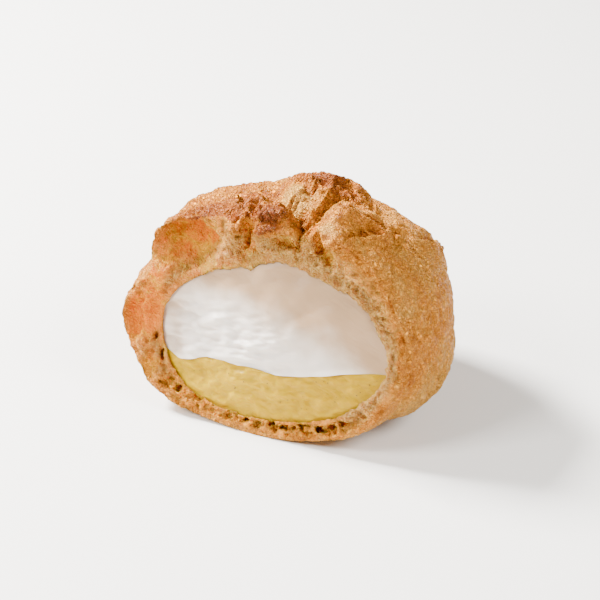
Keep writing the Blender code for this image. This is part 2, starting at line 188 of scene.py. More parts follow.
# Pockets and lumps in the cut face: across, up, half sizes, turn, how far it stands out, how
# much painted orange glow it gets for the light a thin wall behind it would let through, how
# much of it is browned skin, and how much steeper its left side is than its right.
RIM_RELIEF = (
    (-27.6, 49.2, 9.8, 6.8, 28.0, -6.6, 0.75, 0.0, 0.4),
    (-31.3, 49.9, 3.4, 2.4, 60.0, -1.4, 0.2, 0.0, 0.0),
    (-31.4, 56.0, 9.0, 1.5, 34.0, 1.0, 0.0, 0.9, 0.0),
    (-23.8, 47.9, 3.6, 2.6, 20.0, -0.6, 0.6, 0.0, 0.0),
    (-40.2, 25.0, 9.0, 3.2, 84.0, -3.0, 1.0, 0.0, 0.0),
    (-37.4, 26.0, 8.0, 1.0, 82.0, 0.7, 0.0, 0.0, 0.0),
    (-35.0, 27.0, 13.0, 4.8, 86.0, -0.4, 0.75, 0.0, 0.0),
    (-33.0, 38.5, 5.0, 4.0, 60.0, 0.3, 0.35, 0.0, 0.0),
    (-34.4, 11.8, 4.4, 3.0, 62.0, -1.8, 0.5, 0.0, 0.0),
    (-12.4, 56.2, 3.6, 3.6, 0.0, 3.2, 0.0, 1.0, 0.0),
    (-8.6, 54.2, 5.4, 2.0, 76.0, -2.8, 0.55, 0.0, 0.0),
    (-9.6, 48.6, 4.4, 3.0, 60.0, -1.4, 0.4, 0.0, 0.0),
    (-3.4, 59.0, 7.6, 6.2, 0.0, 4.4, 0.0, 2.1, 0.0),
    (1.2, 56.6, 6.6, 2.0, 8.0, 1.7, 0.0, 0.45, 0.0),
    (1.6, 52.9, 5.0, 2.0, 4.0, -1.8, 0.35, 0.0, 0.0),
    (6.6, 60.0, 4.6, 2.6, 105.0, -4.6, 0.6, 0.0, 0.0),
    (12.4, 52.6, 5.6, 1.9, -56.0, -2.6, 0.5, 0.0, 0.0),
    (15.6, 58.2, 5.4, 5.0, 0.0, 2.6, 0.0, 1.0, 0.0),
    (-16.0, 44.6, 6.0, 2.2, 12.0, 0.9, 0.0, 0.0, 0.0),
    (22.0, 48.0, 7.0, 3.0, -40.0, 0.9, 0.0, 0.25, 0.0),
    (37.5, 30.0, 20.0, 5.0, 90.0, -2.0, 0.0, 0.0, 0.0),
)
STANDS_OUT, LETS_LIGHT, BROWNED_SKIN = 5, 6, 7
RELIEF_WANDER, RELIEF_WANDER_SIZE, RELIEF_SLICE = 1.5, 3.4, 0.3
# Bubbles that the knife opened in the base: across, up, half width, and half height.
OPEN_BUBBLES = (
    (-29.1, 7.5, 1.7, 1.1),
    (-25.6, 7.2, 1.0, 0.8),
    (-19.1, 6.2, 1.5, 1.0),
    (-14.2, 5.6, 0.9, 0.7),
    (-8.6, 4.7, 1.8, 0.9),
    (-4.7, 3.5, 1.2, 0.8),
    (-1.2, 3.2, 1.0, 0.7),
    (2.4, 4.4, 0.8, 0.6),
    (6.2, 3.9, 1.6, 1.0),
    (11.0, 5.6, 1.4, 1.0),
    (15.9, 6.0, 1.3, 0.9),
    (19.6, 7.4, 0.8, 0.6),
    (23.0, 8.6, 1.2, 0.8),
    (-31.8, 14.6, 1.0, 1.4),
    (-33.6, 18.6, 0.8, 1.2),
)
BUBBLE_DEPTH, BUBBLE_LEVEL_TO, BUBBLE_ENDS_AT = 1.8, 0.5, 1.35
BUBBLE_WANDER, BUBBLE_WANDER_SIZE, BUBBLE_SLICE = 0.5, 1.3, 0.7
RELIEF_LEVEL_TO, RELIEF_ENDS_AT, RELIEF_FADES_FROM = 0.35, 1.15, 0.7
# How far the crumb slopes back into the opening, as a share of the way from the back.
SLOPES_BACK = (0.008, 0.012, 0.018, 0.024, 0.034, 0.056, 0.056, 0.034, 0.008, 0.002, 0.002, 0.005)
SLOPE_FROM = 0.3
# Rags of the opening's torn edge: size, and how far they reach in.
OPENING_RAGS = ((5.0, 1.1), (1.6, 0.3))
SHELL_COLUMNS, SHELL_ROWS, RIM_ROWS, INNER_WALL_ROWS, HOLLOW_ROWS = 512, 172, 26, 9, 12
QUARTER_COLUMNS_TO, HALF_COLUMNS_TO, FEWEST_COLUMNS = 0.16, 0.42, 32
INNER_WALL_SHOWS_TO = 0.9
# How far the crags and the splits wander, and the size of their bends on rays this long.
RAY_LENGTH, CRAG_WANDER, CRAG_WANDER_SIZE = 10.0, 0.07, 2.4
SPLIT_WANDER, SPLIT_WANDER_SIZE = 0.06, 1.1
# The wandering is the same each time only when its noise is given a seed.
DRIFT_SEED = 2


def smooth_step(value, low, high):
    share = np.clip((value - low) / (high - low), 0.0, 1.0)
    return share * share * (3.0 - 2.0 * share)


def unit(vectors):
    return vectors / np.linalg.norm(vectors, axis=-1, keepdims=True)


def heading(azimuth, height):
    """The unit vector at an azimuth from +X towards +Y and a height above the horizon."""
    across, up = math.radians(azimuth), math.radians(height)
    return np.array([math.cos(up) * math.cos(across), math.cos(up) * math.sin(across), math.sin(up)])


def degrees_from(rays, heading_ray):
    return np.degrees(np.arccos(np.clip((rays * heading_ray).sum(-1), -1.0, 1.0)))


def round_curve(values, angles):
    """A smooth closed curve through values at equal steps of angle, read at angles in radians."""
    values = np.asarray(values, float)
    place = np.asarray(angles) / (2.0 * math.pi) * len(values)
    first = np.floor(place).astype(int)
    share = place - first
    before, here, after, beyond = (values[(first + i) % len(values)] for i in (-1, 0, 1, 2))
    bend = 2.0 * before - 5.0 * here + 4.0 * after - beyond
    twist = 3.0 * (here - after) + beyond - before
    return here + 0.5 * share * (after - before + share * (bend + share * twist))


def in_the_cut(across, up, proud=0.0):
    """A point of the cut, from how far across and up it is, and how far it stands out."""
    forward = up * math.sin(CUT_LEAN) - CUT_FORWARD - proud * math.cos(CUT_LEAN)
    height = up * math.cos(CUT_LEAN) + proud * math.sin(CUT_LEAN)
    return np.stack([across + 0.0 * up, forward, height], axis=-1)


def rim_length(angles):
    length = round_curve(RIM_LENGTHS, angles)
    for centre, spread, swell in RIM_SWELLS:
        away = (np.degrees(angles) - centre + 180.0) % 360.0 - 180.0
        length = length + swell * np.exp(-((away / spread) ** 2))
    return length


def cut_place(length, angles):
    """Across and up in the cut, from a length and angle round the opening's centre."""
    return length * np.cos(angles), OPENING_HEIGHT + length * np.sin(angles)


def speckle(points, size, octaves=3.0):
    """Soft random values about 0 at points in millimetres, whose spots are of one size."""
    return np.array([noise.fractal(place, 1.0, 2.0, octaves) for place in (points / size).tolist()])


noise.seed_set(DRIFT_SEED)


def drift(points, size):
    """Soft random vectors about 0 at points in millimetres."""
    return np.array([noise.noise_vector(place) for place in (points / size).tolist()])


def drift_in_the_cut(across, up, size, slice_at):
    """Soft random shifts across and up at points of the cut, from one slice of the noise."""
    away = drift(np.stack([across, np.full_like(across, slice_at), up], axis=-1), size)
    return away[:, 0], away[:, 2]


def crag_dome(rays, crag):
    away = degrees_from(rays, heading(crag[0], crag[1]))
    return np.clip(1.0 - (away / crag[2]) ** 2, 0.0, None)


def crag_rise(rays):
    total = np.ones(len(rays))
    for crag in CRAGS:
        total += np.exp(crag[3] * crag_dome(rays, crag) ** CRAG_ROUNDNESS / CRAG_BLEND) - 1.0
    return CRAG_BLEND * np.log(total)


def split_depth(rays):
    """How deep the splits are at each ray, less the height of the lips beside them."""
    depth, lips = np.zeros(len(rays)), np.zeros(len(rays))
    for from_azimuth, from_height, to_azimuth, to_height, width, deep, lip in SPLITS:
        start, end = heading(from_azimuth, from_height), heading(to_azimuth, to_height)
        along = np.clip((rays - start) @ (end - start) / ((end - start) @ (end - start)), 0.0, 1.0)
        nearest = unit(start + along[:, None] * (end - start))
        taper = SPLIT_END_DEPTH + (1.0 - SPLIT_END_DEPTH) * np.sin(math.pi * along)
        away = degrees_from(rays, nearest) / width
        depth = np.maximum(depth, deep * taper * np.exp(-(away**2)))
        lip_side = rays @ np.cross(start, end) * math.copysign(1.0, lip) > 0.0
        rise = abs(lip) * taper * np.exp(-(((away - LIP_FROM_SPLIT) / LIP_WIDTH) ** 2)) * lip_side
        lips = np.maximum(lips, rise)
    return depth - lips


def wandering_splits(rays):
    return split_depth(unit(rays + SPLIT_WANDER * drift(rays * RAY_LENGTH, SPLIT_WANDER_SIZE)))


def body_radius(rays):
    tall = np.where(rays[:, 2] > 0.0, BODY_RISE, BODY_DROP)
    half_sizes = np.stack([np.full_like(tall, BODY_WIDE), np.full_like(tall, BODY_DEEP), tall], axis=1)
    return 1.0 / np.linalg.norm(rays / half_sizes, axis=1)


def skin_radius(rays):
    return body_radius(rays) + crag_rise(rays)


def hollow_radius(rays):
    up, down = np.clip(rays[:, 2], 0.0, 1.0), np.clip(-rays[:, 2], 0.0, 1.0)
    side_wall = body_radius(rays) - WALL_SIDE
    return side_wall - (WALL_TOP - WALL_SIDE) * up**2 - (WALL_BASE - WALL_SIDE) * down**2


def rays_round(edge, share):
    """The rays of a ring, at a share of the way from straight back to an outline in the cut."""
    edge_ray = unit(edge - BODY_MIDDLE)
    sweep = np.arccos(np.clip(edge_ray[:, 1], -1.0, 1.0))
    share = np.broadcast_to(share, sweep.shape)
    back = np.array([0.0, 1.0, 0.0])
    return unit(np.sin((1.0 - share) * sweep)[:, None] * back + np.sin(share * sweep)[:, None] * edge_ray)


def ring_round(edge, share, skin, baked=False):
    """A ring on a skin. The crags and splits of the baked skin wander a little."""
    spoke = edge - BODY_MIDDLE
    rays = rays_round(edge, share)
    meets = smooth_step(share, MEETS_RIM_FROM, 1.0)
    edge_gap = np.linalg.norm(spoke, axis=1) - skin(unit(spoke))
    bent = rays
    if baked:
        bent = unit(rays + CRAG_WANDER * (1.0 - meets) * drift(rays * RAY_LENGTH, CRAG_WANDER_SIZE))
    length = skin(bent) + edge_gap * meets
    if baked:
        length = length - wandering_splits(rays)
    ring = BODY_MIDDLE + rays * length[:, None]
    ring[:, 2] = np.maximum(ring[:, 2], 0.0)
    return ring


def relief_part(across, up, lump):
    """How much of one lump or pocket is at each point of the cut face, from 0 to 1."""
    middle_across, middle_up, half_long, half_wide, turn, *_, steeper = lump
    across, up, turn = across - middle_across, up - middle_up, math.radians(turn)
    along = across * math.cos(turn) + up * math.sin(turn)
    beside = up * math.cos(turn) - across * math.sin(turn)
    away = np.hypot(along / half_long, beside / half_wide) + steeper * beside / half_wide
    return 1.0 - smooth_step(away, RELIEF_LEVEL_TO, RELIEF_ENDS_AT)


def rim_relief(across, up, kind=STANDS_OUT):
    """The sum of one of the values of the lumps and pockets, whose outlines wander a little."""
    aside, above = drift_in_the_cut(across, up, RELIEF_WANDER_SIZE, RELIEF_SLICE)
    across, up = across + RELIEF_WANDER * aside, up + RELIEF_WANDER * above
    return sum(lump[kind] * relief_part(across, up, lump) for lump in RIM_RELIEF)


def open_bubbles(across, up):
    """How far inside an opened bubble each point is, from 0 to 1."""
    aside, above = drift_in_the_cut(across, up, BUBBLE_WANDER_SIZE, BUBBLE_SLICE)
    across, up = across + BUBBLE_WANDER * aside, up + BUBBLE_WANDER * above
    inside = np.zeros(len(across))
    for middle_across, middle_up, half_width, half_height in OPEN_BUBBLES:
        away = np.hypot((across - middle_across) / half_width, (up - middle_up) / half_height)
        inside = np.maximum(inside, 1.0 - smooth_step(away, BUBBLE_LEVEL_TO, BUBBLE_ENDS_AT))
    return inside


def ragged_opening(angles):
    """The lengths of the opening's torn edge, whose rags only ever reach inwards."""
    length = round_curve(OPENING_LENGTHS, angles)
    edge = in_the_cut(*cut_place(length, angles))
    return length - sum(far * np.clip(speckle(edge, size), 0.0, None) for size, far in OPENING_RAGS)


def rim_edge(angles):
    across, up = cut_place(rim_length(angles), angles)
    return in_the_cut(across, up, rim_relief(across, up))


def angles_of(count):
    return 2.0 * math.pi * np.arange(count) / count


def columns_at(share):
    """Fewer columns towards the back, so that the faces stay of one size."""
    if share < QUARTER_COLUMNS_TO:
        return SHELL_COLUMNS // 4
    return SHELL_COLUMNS // 2 if share < HALF_COLUMNS_TO else SHELL_COLUMNS


def faces_between(start, count, next_start, next_count):
    """The faces that join one ring of points to the next, which may be half or twice as fine."""
    if count == 1:
        return [(start, next_start + (i + 1) % next_count, next_start + i) for i in range(next_count)]
    if next_count == 1:
        return [(start + i, start + (i + 1) % count, next_start) for i in range(count)]
    if count == next_count:
        turned = [(i + 1) % count for i in range(count)]
        return [(start + i, start + j, next_start + j, next_start + i) for i, j in enumerate(turned)]
    fine, coarse = (start, next_start) if count > next_count else (next_start, start)
    coarse_count = min(count, next_count)
    faces = []
    for i in range(coarse_count):
        near, far = coarse + i, coarse + (i + 1) % coarse_count
        first, middle, last = (fine + (2 * i + j) % (2 * coarse_count) for j in (0, 1, 2))
        faces += [(near, first, middle), (near, middle, far), (far, middle, last)]
    return faces


def mesh_piece(name, points, faces):
    """A piece through points in millimetres, whose faces all look outwards."""
    mesh = bpy.data.meshes.new(name)
    mesh.from_pydata(((points + AXIS_FOOT) * MM).tolist(), [], faces)
    shape = bmesh.new()
    shape.from_mesh(mesh)
    bmesh.ops.recalc_face_normals(shape, faces=shape.faces)
    shape.to_mesh(mesh)
    shape.free()
    piece = bpy.data.objects.new(name, mesh)
    bpy.context.scene.collection.objects.link(piece)
    return piece


def stored_at_points(mesh, kind, values):
    mesh.attributes.new(kind, "FLOAT", "POINT").data.foreach_set("value", values)


def closed_piece(name, rings):
    """A closed piece through rings of points."""
    starts = np.cumsum([0] + [len(ring) for ring in rings]).tolist()
    faces = []
    for i in range(len(rings) - 1):
        faces += faces_between(starts[i], len(rings[i]), starts[i + 1], len(rings[i + 1]))
    piece = mesh_piece(name, np.concatenate(rings), faces)
    piece.data.shade_smooth()
    return piece


def back_pole(skin):
    back = np.array([[0.0, 1.0, 0.0]])
    return BODY_MIDDLE + back * skin(back)[:, None]


# How brown the skin is, how much that varies, and how much paler it is towards its foot.
SKIN_BROWN, SKIN_BROWN_VARIES, SKIN_CLOUD, FOOT_PALER = 0.39, 0.12, 11.0, 0.3
PALE_FROM_HEIGHT, PALEST_AT_HEIGHT = 22.0, 2.0
# How deep a split begins and ends to look cracked, painted darker partly as shade, and to get a
# painted orange glow for the light it would let through.
CRACKED_SPLIT, GLOWING_SPLIT = (0.5, 1.8), (1.8, 4.2)
# How brown the lumps of skin in the cut face are, and the crests that the oven caught.
CUT_BROWN, CUT_BROWN_VARIES, CUT_CLOUD, SKINNED_PALER, CAUGHT_BROWN = 0.40, 0.22, 5.0, 0.04, 0.6
# The crumb's ragged border with the crust, and its toasted and porous parts.
BORDER_RAG, BORDER_RAG_SIZE, BORDER_FROM, BORDER_TO = 1.4, 3.6, -1.2, 2.6
# The crumb that slopes back into the opening gets a painted orange glow, for light through its thin wall.
SLOPE_GLOW, SLOPE_GLOWS_FULLY = 0.45, 0.05
POROUS_FROM_HEIGHT, POROUS_AT_HEIGHT = 12.5, 7.5


def skin_marks(ring, rays):
    """The marks at the points of a ring of the baked skin, in the order of MARK_NAMES."""
    split = wandering_splits(rays)
    brown = sum(crag[4] * smooth_step(crag_dome(rays, crag), 0.1, 0.9) for crag in CRAGS)
    for azimuth, height, spread, browner in PATCHES:
        away = degrees_from(rays, heading(azimuth, height))
        brown = brown + browner * np.exp(-((away / spread) ** 2))
    low = smooth_step(-ring[:, 2], -PALE_FROM_HEIGHT, -PALEST_AT_HEIGHT)
    brown = brown + SKIN_BROWN + SKIN_BROWN_VARIES * speckle(ring, SKIN_CLOUD) - FOOT_PALER * low
    # Deep splits get a painted orange glow, and shallower ones are painted darker, partly as shade.
    glow, crack = smooth_step(split, *GLOWING_SPLIT), smooth_step(split, *CRACKED_SPLIT)
    nothing = np.zeros(len(ring))
    return np.stack([nothing, glow, nothing, brown, nothing, nothing, crack])


def cut_marks(ring, across, up, length, angles, share):
    """The same marks at the points of a ring of the cut face."""
    share = np.full(len(ring), share)
    inside = round_curve(CRUST_EDGE_LENGTHS, angles) - length + BORDER_RAG * speckle(ring, BORDER_RAG_SIZE)
    skin_here = rim_relief(across, up, BROWNED_SKIN)
    skinned = smooth_step(skin_here + 0.3 * speckle(ring, 1.8), 0.2, 0.8)
    crumb = smooth_step(inside, BORDER_FROM, BORDER_TO) * (1.0 - skinned)
    # The pockets, and crumb sloping back into the opening, get a painted orange glow for light through the
    # wall.
    lit = np.clip(rim_relief(across, up, LETS_LIGHT), 0.0, 1.0)
    sloping = np.clip(round_curve(SLOPES_BACK, angles) / SLOPE_GLOWS_FULLY, 0.0, 1.0) ** 2
    lit = np.maximum(lit, SLOPE_GLOW * sloping * smooth_step(share, 0.45, 1.0))
    porous = smooth_step(1.2 * speckle(ring, 3.0) - up, -POROUS_FROM_HEIGHT, -POROUS_AT_HEIGHT)
    porous = porous * smooth_step(-across, -34.0, -28.0)
    hold = smooth_step(share, 0.75, 0.95)
    toast = 1.0 - smooth_step(share + 0.12 * speckle(ring, 2.4), 0.15, 0.8)
    brown = CUT_BROWN + CUT_BROWN_VARIES * speckle(ring, CUT_CLOUD) - SKINNED_PALER * skinned
    brown = brown + CAUGHT_BROWN * np.clip(skin_here - 1.0, 0.0, 0.8)
    # Opened bubbles take the crack mark, which paints them darker, partly as shade.
    return np.stack([crumb, lit, porous, brown, hold, toast, open_bubbles(across, up)])


# The marks steer the relief and the colours: how far each point is torn crumb, gets a painted
# orange glow, is of the porous base, is browned, keeps its place, is toasted, and lies in a
# crack, which is painted darker, partly as shade.
MARK_NAMES = ("crumb", "glow", "base", "brown", "hold", "toast", "crack")
# Crumb of the inner wall and the hollow; where it shows, it gets some painted orange glow.
HIDDEN_CRUMB = np.array([1.0, 0.55, 0.0, 0.4, 2.0, 0.2, 0.0])
shell_rings = [back_pole(skin_radius)]
shell_marks = [skin_marks(back_pole(skin_radius), np.array([[0.0, 1.0, 0.0]]))]
for row in range(1, SHELL_ROWS + 1):
    share = row / SHELL_ROWS
    edge = rim_edge(angles_of(columns_at(share)))
    ring = ring_round(edge, share, skin_radius, baked=True)
    shell_rings.append(ring)
    shell_marks.append(skin_marks(ring, rays_round(edge, share)))
angles = angles_of(SHELL_COLUMNS)
rim_ray = unit(rim_edge(angles) - BODY_MIDDLE)
rim_split = wandering_splits(rim_ray)[:, None] * rim_ray
opening = in_the_cut(*cut_place(round_curve(OPENING_LENGTHS, angles), angles))
torn_lengths = ragged_opening(angles)
slope = ring_round(opening, 1.0 - round_curve(SLOPES_BACK, angles), hollow_radius) - opening
for row in range(1, RIM_ROWS + 1):
    share = row / RIM_ROWS
    length = rim_length(angles) * (1.0 - share) + torn_lengths * share
    across, up = cut_place(length, angles)
    relief = rim_relief(across, up) * (1.0 - smooth_step(np.array(share), RELIEF_FADES_FROM, 1.0))
    relief = relief - BUBBLE_DEPTH * open_bubbles(across, up) * (row < RIM_ROWS)
    ring = in_the_cut(across, up, relief) - rim_split * (1.0 - share) ** 2
    ring += slope * smooth_step(np.array(share), SLOPE_FROM, 1.0)
    ring[:, 2] = np.maximum(ring[:, 2], 0.0)
    shell_rings.append(ring)
    shell_marks.append(cut_marks(ring, across, up, length, angles, share))
for row in range(1, INNER_WALL_ROWS + HOLLOW_ROWS):
    hidden_row = row - INNER_WALL_ROWS
    share = 1.0 - (1.0 - INNER_WALL_SHOWS_TO) * row / INNER_WALL_ROWS
    if hidden_row > 0:
        share = INNER_WALL_SHOWS_TO * (1.0 - hidden_row / HOLLOW_ROWS)
    angles = angles_of(max(SHELL_COLUMNS >> max(hidden_row, 0), FEWEST_COLUMNS))
    opening = in_the_cut(*cut_place(round_curve(OPENING_LENGTHS, angles), angles))
    share = share * (1.0 - round_curve(SLOPES_BACK, angles))
    shell_rings.append(ring_round(opening, share, hollow_radius))
    shell_marks.append(np.repeat(HIDDEN_CRUMB[:, None], len(angles), axis=1))
shell_rings.append(back_pole(hollow_radius))
shell_marks.append(HIDDEN_CRUMB[:, None])
shell = closed_piece("choux_shell", shell_rings)
for kind, values in zip(MARK_NAMES, np.concatenate(shell_marks, axis=1)):
    stored_at_points(shell.data, kind, values)


def plug(tree, node, inputs):
    """Sets each input of a node to a value, or links it to a socket."""
    for socket, value in inputs.items():
        if isinstance(value, bpy.types.NodeSocket):
            tree.links.new(value, node.inputs[socket])
        else:
            node.inputs[socket].default_value = value


def add(tree, kind, inputs=None, **settings):
    """A node of a kind, with its settings and its inputs."""
    made = tree.nodes.new(kind)
    for setting, value in settings.items():
        setattr(made, setting, value)
    plug(tree, made, inputs or {})
    return made


def work(tree, operation, *values):
    """A calculation on one to three values or sockets."""
    return add(tree, "ShaderNodeMath", dict(enumerate(values)), operation=operation).outputs[0]


def plus(tree, first, second):
    return work(tree, "ADD", first, second)


def less(tree, first, second):
    return work(tree, "SUBTRACT", first, second)


def times(tree, first, second):
    return work(tree, "MULTIPLY", first, second)


def larger(tree, first, second):
    return work(tree, "MAXIMUM", first, second)


def spread_out(tree, value, swing):
    """A noise value, as a swing to both sides of 0."""
    return work(tree, "MULTIPLY_ADD", value, swing, -swing / 2.0)


def ease(tree, value, low, high, to_low=0.0, to_high=1.0):
    """A value's even bend from one range to another."""
    ranges = {"Value": value, "From Min": low, "From Max": high, "To Min": to_low, "To Max": to_high}
    return add(tree, "ShaderNodeMapRange", ranges, interpolation_type="SMOOTHSTEP").outputs["Result"]


def scaled(tree, places, factor):
    return add(tree, "ShaderNodeVectorMath", {0: places, "Scale": factor}, operation="SCALE").outputs[0]


def sides_of(tree, vector):
    return add(tree, "ShaderNodeSeparateXYZ", {0: vector}).outputs


def vector_of(tree, **sides):
    return add(tree, "ShaderNodeCombineXYZ", sides).outputs[0]


def cloudy(tree, places, spot, detail=2.0, output="Fac", roughness=0.5):
    """Noise whose spots are of one size, in the unit of the places."""
    per_spot = 1.0 / spot if isinstance(spot, float) else work(tree, "DIVIDE", 1.0, spot)
    sockets = {"Vector": places, "Scale": per_spot, "Detail": detail, "Roughness": roughness}
    return add(tree, "ShaderNodeTexNoise", sockets).outputs[output]


def creased(tree, places, spot, detail=2.0, sharpness=7.0):
    """Noise folded about its middle, which is 1 along sharp wandering lines."""
    away = work(tree, "ABSOLUTE", less(tree, cloudy(tree, places, spot, detail), 0.5))
    return less(tree, 1.0, work(tree, "MINIMUM", times(tree, away, sharpness), 1.0))


def cells(tree, places, size, feature):
    """A pattern of cells of one size, in the unit of the places."""
    sockets = {"Vector": places, "Scale": work(tree, "DIVIDE", 1.0, size)}
    return add(tree, "ShaderNodeTexVoronoi", sockets, feature=feature).outputs


def strayed(tree, places, spot, far):
    """Places moved about, so that a pattern on them isn't regular."""
    sockets = {0: cloudy(tree, places, spot, output="Color"), 1: (0.5, 0.5, 0.5)}
    away = add(tree, "ShaderNodeVectorMath", sockets, operation="SUBTRACT").outputs[0]
    return add(tree, "ShaderNodeVectorMath", {0: places, 1: scaled(tree, away, far)}).outputs[0]


def new_tree(name, kind, inputs, outputs):
    """A node tree with named inputs and outputs, its input sockets and its output node."""
    tree = bpy.data.node_groups.new(name, kind)
    for direction, sockets in (("INPUT", inputs), ("OUTPUT", outputs)):
        for socket, socket_kind in sockets.items():
            tree.interface.new_socket(socket, in_out=direction, socket_type="NodeSocket" + socket_kind)
    return tree, add(tree, "NodeGroupInput").outputs, add(tree, "NodeGroupOutput")


def stored_mark(tree, kind):
    """A mark that was stored at the points, in a tree that works on a mesh."""
    return add(tree, "GeometryNodeInputNamedAttribute", {"Name": kind}, data_type="FLOAT").outputs[0]


def finish_tree(tree, made, given, result):
    """Ends a tree that works on a mesh: all of it made real, and in its material."""
    whole = add(tree, "GeometryNodeRealizeInstances", {"Geometry": made}).outputs[0]
    sockets = {"Geometry": whole, "Material": given["Material"]}
    plug(tree, result, {"Geometry": add(tree, "GeometryNodeSetMaterial", sockets).outputs[0]})


def baked_relief_tree():
    """Lumps, wrinkles and crackle in the skin, folds in the crumb, and pores in the base."""
    features = ("Lump", "Wrinkle", "Crackle", "Fold", "Grain", "Pore")
    inputs = {"Geometry": "Geometry", "Material": "Material"}
    inputs |= {f"{feature} {measure}": "Float" for feature in features for measure in ("Size", "Depth")}
    tree, given, result = new_tree("baked relief", "GeometryNodeTree", inputs, {"Geometry": "Geometry"})

    def deep(value, feature):
        return times(tree, value, given[feature + " Depth"])

    place = scaled(tree, add(tree, "GeometryNodeInputPosition").outputs[0], 1.0 / MM)
    loose = strayed(tree, strayed(tree, place, 5.0, 3.0), 1.6, 0.8)
    rough = ease(tree, stored_mark(tree, "brown"), 0.3, 0.65, 0.35, 1.0)
    lump = less(tree, cloudy(tree, loose, given["Lump Size"], 2.0), 0.5)
    wrinkle = creased(tree, loose, given["Wrinkle Size"])
    edges = cells(tree, loose, given["Crackle Size"], "DISTANCE_TO_EDGE")[0]
    groove = ease(tree, edges, 0.0, 0.12, 1.0, 0.0)
    skin = less(tree, deep(lump, "Lump"), deep(work(tree, "POWER", wrinkle, 2.0), "Wrinkle"))
    skin = times(tree, less(tree, skin, deep(groove, "Crackle")), rough)

    fold = creased(tree, loose, given["Fold Size"], 3.0)
    grain = less(tree, cloudy(tree, place, given["Grain Size"], 2.0), 0.5)
    pore = None
    for shrunk in (1.0, 0.5):
        hole = cells(tree, scaled(tree, loose, 1.0 / shrunk), given["Pore Size"], "F1")
        is_open = ease(tree, sides_of(tree, hole["Color"])[0], 0.35, 0.6)
        hollow = times(tree, ease(tree, hole["Distance"], 0.16, 0.5, shrunk, 0.0), is_open)
        pore = larger(tree, pore, hollow) if pore else hollow
    pore = times(tree, pore, stored_mark(tree, "base"))
    hold = stored_mark(tree, "hold")
    free = larger(tree, less(tree, 1.0, hold), 0.0)
    half_free = larger(tree, work(tree, "MULTIPLY_ADD", hold, -0.5, 1.0), 0.0)
    sunk = less(tree, deep(grain, "Grain"), times(tree, given["Fold Depth"], 0.5))
    sunk = less(tree, sunk, deep(pore, "Pore"))
    crumb = work(tree, "MULTIPLY_ADD", sunk, free, times(tree, deep(fold, "Fold"), half_free))
    thin_wall = work(tree, "MULTIPLY_ADD", stored_mark(tree, "glow"), -0.7, 1.0)
    crumb = times(tree, crumb, thin_wall)

    sockets = {0: stored_mark(tree, "crumb"), 2: times(tree, skin, free), 3: crumb}
    mixed = add(tree, "ShaderNodeMix", sockets).outputs[0]
    offset = times(tree, mixed, ease(tree, sides_of(tree, place)["Z"], 0.4, 2.5))
    normal = add(tree, "GeometryNodeInputNormal").outputs[0]
    offset = scaled(tree, scaled(tree, normal, offset), MM)
    sockets = {"Geometry": given["Geometry"], "Offset": offset}
    kept = add(tree, "GeometryNodeSetPosition", sockets).outputs[0]
    for kind, value in (("groove", groove), ("pore", pore), ("wrinkle", wrinkle), ("fold", fold)):
        sockets = {"Geometry": kept, "Name": kind, "Value": value}
        kept = add(tree, "GeometryNodeStoreNamedAttribute", sockets).outputs[0]
    finish_tree(tree, kept, given, result)
    return tree


def grow(piece, tree, values):
    """Lets a tree work on a piece's mesh, and keeps the result as a plain mesh."""
    modifier = piece.modifiers.new(tree.name, "NODES")
    modifier.node_group = tree
    for socket in tree.interface.items_tree:
        if socket.in_out == "INPUT" and socket.name in values:
            modifier[socket.identifier] = values[socket.name]
    mesh = bpy.data.meshes.new_from_object(piece.evaluated_get(bpy.context.evaluated_depsgraph_get()))
    piece.modifiers.remove(modifier)
    piece.data = mesh


def place_in_mm(tree):
    return scaled(tree, add(tree, "ShaderNodeTexCoord").outputs["Object"], 1.0 / MM)


def fine_grain_group():
    """Pits, seams and wrinkles finer than a millimetre, for a dry baked skin and a torn crumb."""
    inputs = {"Cell Size": "Float", "Seam Width": "Float", "Grain Size": "Float", "Ridge Size": "Float"}
    outputs = {"Seam": "Float", "Grain": "Float", "Ridge": "Float"}
    tree, given, result = new_tree("fine grain", "ShaderNodeTree", inputs, outputs)
    loose = strayed(tree, place_in_mm(tree), 1.4, 0.9)
    seam = cells(tree, loose, given["Cell Size"], "DISTANCE_TO_EDGE")[0]
    seam = ease(tree, seam, 0.0, given["Seam Width"], 1.0, 0.0)
    grain = cloudy(tree, loose, given["Grain Size"], 3.0)
    ridge = creased(tree, loose, given["Ridge Size"], 3.0)
    plug(tree, result, {"Seam": seam, "Grain": grain, "Ridge": ridge})
    return tree


def new_material(name):
    material = bpy.data.materials.new(name)
    material.use_nodes = True
    return material, material.node_tree, material.node_tree.nodes["Principled BSDF"]


def mark_of(tree, kind):
    return add(tree, "ShaderNodeAttribute", attribute_name=kind).outputs["Fac"]


def blended(tree, share, first, second):
    """A colour between two colours or sockets."""
    sockets = {0: share}
    for socket, colour in ((6, first), (7, second)):
        sockets[socket] = (*colour, 1.0) if isinstance(colour, tuple) else colour
    return add(tree, "ShaderNodeMix", sockets, data_type="RGBA").outputs[2]


def ramp(tree, value, *stops):
    """A colour from a run of shares and colours."""
    made = add(tree, "ShaderNodeValToRGB", {"Fac": value})
    elements = made.color_ramp.elements
    elements[0].position, elements[0].color = stops[0][0], (*stops[0][1], 1.0)
    elements[1].position, elements[1].color = stops[-1][0], (*stops[-1][1], 1.0)
    for share, colour in stops[1:-1]:
        elements.new(share).color = (*colour, 1.0)
    return made.outputs["Color"]


